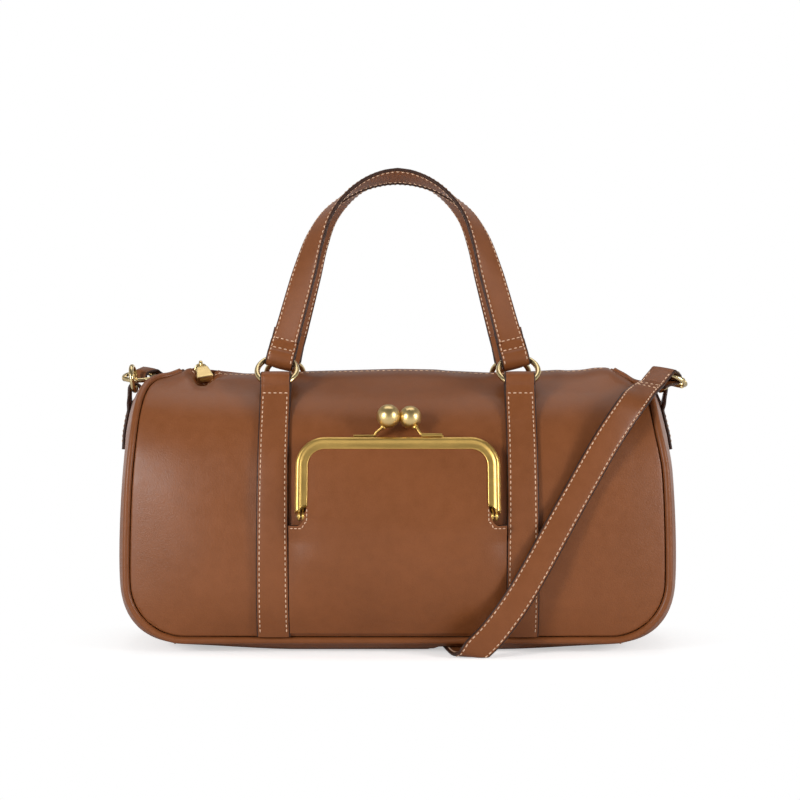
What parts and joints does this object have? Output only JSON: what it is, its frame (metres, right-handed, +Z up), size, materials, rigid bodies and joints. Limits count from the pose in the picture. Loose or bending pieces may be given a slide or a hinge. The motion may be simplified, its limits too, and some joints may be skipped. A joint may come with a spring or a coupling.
{
  "type": "frame satchel",
  "caption": "Small leather barrel satchel with two ring-hung handles, a zipped top, a kiss-lock frame pocket on the front and a clip-on shoulder strap.",
  "frame": {"origin": "centre of the flat base, on the surface that the bag stands on", "axes": "+X to the right seen from the front, along the bag's length; the front with the kiss-lock pocket faces -Y; +Z up"},
  "size_m": [0.3358, 0.1886, 0.2807],
  "materials": {
    "leather": "semi-gloss, fine grain",
    "lining": "woven",
    "board": "matt stiffener board",
    "tape": "woven tape",
    "brass": "satin"
  },
  "bodies": {
    "bag": {"back_left_strap": "leather", "back_lining": "lining", "back_panel": "leather", "back_piping": "leather", "back_right_strap": "leather", "back_zip_tape": "tape", "back_zip_teeth": "brass", "base_board": "board", "base_panel": "leather", "front_left_strap": "leather", "front_lining": "lining", "front_panel": "leather", "front_piping": "leather", "front_right_strap": "leather", "front_zip_tape": "tape", "front_zip_teeth": "brass", "left_gusset": "leather", "left_side_tab": "leather", "left_zip_stop": "brass", "pocket_panel": "leather", "purse_back_clasp": "brass", "purse_back_frame": "brass", "purse_left_rivet": "brass", "purse_right_rivet": "brass", "right_gusset": "leather", "right_side_tab": "leather", "right_zip_stop": "brass", "shoulder_strap": "leather"},
    "front_ring_left": {"front_left_ring": "brass"},
    "front_ring_right": {"front_right_ring": "brass"},
    "back_ring_left": {"back_left_ring": "brass"},
    "back_ring_right": {"back_right_ring": "brass"},
    "front_handle": {"front_handle": "leather"},
    "back_handle": {"back_handle": "leather"},
    "zip_slider": {"zip_slider": "brass"},
    "zip_pull_tab": {"zip_pull_tab": "brass"},
    "purse_front": {"purse_front_frame": "brass", "purse_front_clasp": "brass", "purse_front_leaf": "leather"},
    "side_ring_left": {"left_side_ring": "brass"},
    "side_ring_right": {"right_side_ring": "brass"},
    "clip_left": {"left_clip": "brass"},
    "clip_right": {"right_clip": "brass"},
    "gate_left": {"left_clip_gate": "brass"},
    "gate_right": {"right_clip_gate": "brass"}
  },
  "joints": [
    {"name": "front_ring_left_swing", "type": "hinge", "parent": "bag", "child": "front_ring_left", "pos_m": [-0.0692, -0.04151, 0.15051], "axis": [1, 0, 0], "range_deg": [0, 65]},
    {"name": "front_ring_right_swing", "type": "hinge", "parent": "bag", "child": "front_ring_right", "pos_m": [0.0692, -0.04151, 0.15051], "axis": [1, 0, 0], "range_deg": [0, 65]},
    {"name": "front_handle_swing", "type": "hinge", "parent": "front_ring_left", "child": "front_handle", "pos_m": [-0.0692, -0.02553, 0.16649], "axis": [1, 0, 0], "range_deg": [0, 65]},
    {"name": "back_ring_left_swing", "type": "hinge", "parent": "bag", "child": "back_ring_left", "pos_m": [-0.0692, 0.04151, 0.15051], "axis": [-1, 0, 0], "range_deg": [0, 65]},
    {"name": "back_ring_right_swing", "type": "hinge", "parent": "bag", "child": "back_ring_right", "pos_m": [0.0692, 0.04151, 0.15051], "axis": [-1, 0, 0], "range_deg": [0, 65]},
    {"name": "back_handle_swing", "type": "hinge", "parent": "back_ring_left", "child": "back_handle", "pos_m": [-0.0692, 0.02553, 0.16649], "axis": [-1, 0, 0], "range_deg": [0, 65]},
    {"name": "zip_slide", "type": "slide", "parent": "bag", "child": "zip_slider", "axis": [1, 0, 0], "range_m": [0, 0.2336], "deforming": ["shoulder_strap"]},
    {"name": "zip_tab_lift", "type": "hinge", "parent": "zip_slider", "child": "zip_pull_tab", "pos_m": [-0.1168, 0, 0.1629], "axis": [-1, 0, 0], "range_deg": [0, 100]},
    {"name": "purse_open", "type": "hinge", "parent": "bag", "child": "purse_front", "pos_m": [0, -0.07286, 0.07776], "axis": [1, 0, 0], "range_deg": [0, 60]},
    {"name": "side_ring_left_swing", "type": "hinge", "parent": "bag", "child": "side_ring_left", "pos_m": [-0.156, 0, 0.1475], "axis": [0, -1, 0], "range_deg": [0, 30]},
    {"name": "clip_left_swing", "type": "hinge", "parent": "side_ring_left", "child": "clip_left", "pos_m": [-0.15688, 0.0072, 0.15465], "axis": [-0.1219, 0, 0.9925], "range_deg": [-12, 12]},
    {"name": "gate_left_open", "type": "hinge", "parent": "clip_left", "child": "gate_left", "pos_m": [-0.162, 0.01844, 0.15791], "axis": [0, -0.2788, 0.9603], "range_deg": [0, 20], "stiffness_Nm_per_rad": 0.002, "springref_deg": -8.59},
    {"name": "side_ring_right_swing", "type": "hinge", "parent": "bag", "child": "side_ring_right", "pos_m": [0.156, 0, 0.1475], "axis": [0, -1, 0], "range_deg": [0, 30]},
    {"name": "clip_right_swing", "type": "hinge", "parent": "side_ring_right", "child": "clip_right", "pos_m": [0.16109, -0.0072, 0.15259], "axis": [0.7071, 0, 0.7071], "range_deg": [-12, 12]},
    {"name": "gate_right_open", "type": "hinge", "parent": "clip_right", "child": "gate_right", "pos_m": [0.16625, -0.01888, 0.15281], "axis": [0.3503, 0.1722, 0.9207], "range_deg": [0, 20], "stiffness_Nm_per_rad": 0.002, "springref_deg": -8.59}
  ],
  "couplings": [
    {"joint": "front_ring_right_swing", "follows": "front_ring_left_swing", "ratio": 1},
    {"joint": "back_ring_right_swing", "follows": "back_ring_left_swing", "ratio": 1}
  ]
}
